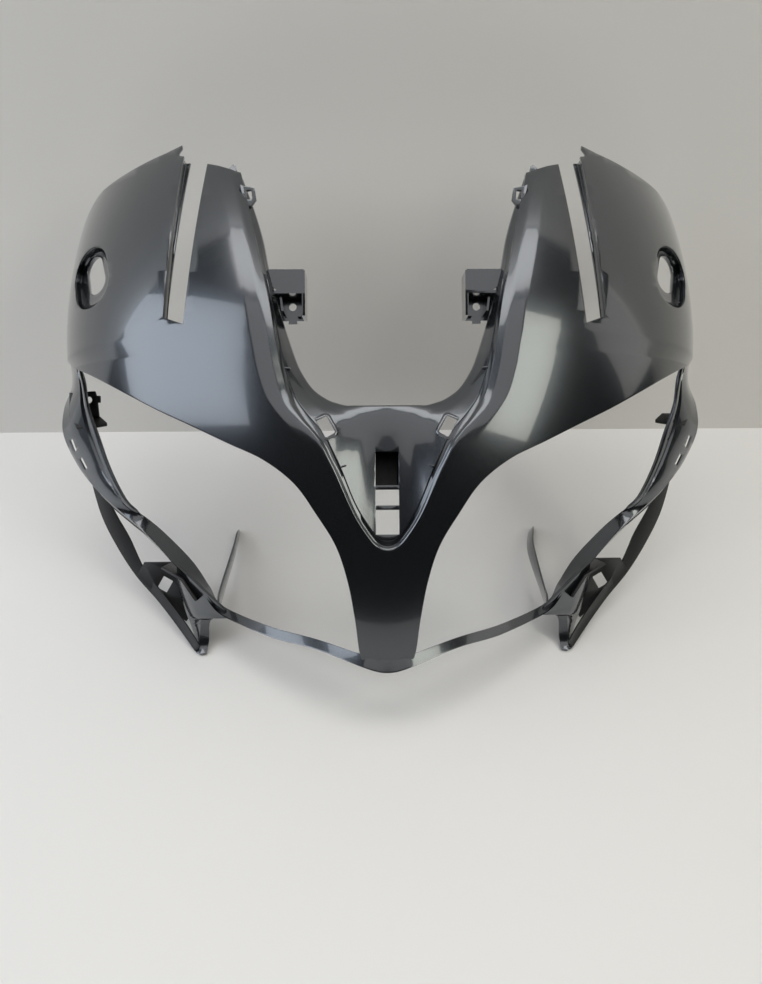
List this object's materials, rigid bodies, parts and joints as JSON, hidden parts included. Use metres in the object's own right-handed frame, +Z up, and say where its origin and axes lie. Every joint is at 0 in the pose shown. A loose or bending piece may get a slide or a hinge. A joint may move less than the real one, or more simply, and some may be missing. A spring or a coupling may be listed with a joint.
{
  "type": "motorcycle fairing",
  "caption": "One-piece upper front fairing of a touring motorcycle: two wings, a central stem, headlamp openings and side bands in glossy dark grey.",
  "frame": {"origin": "on the table, in the middle of the width and depth", "axes": "+Z up, -Y out of the front of the fairing, +X to the right of whoever faces it"},
  "size_m": [0.708, 0.4218, 0.4383],
  "materials": {
    "paint": "gloss"
  },
  "bodies": {
    "root": {"fairing": "paint"}
  },
  "joints": []
}
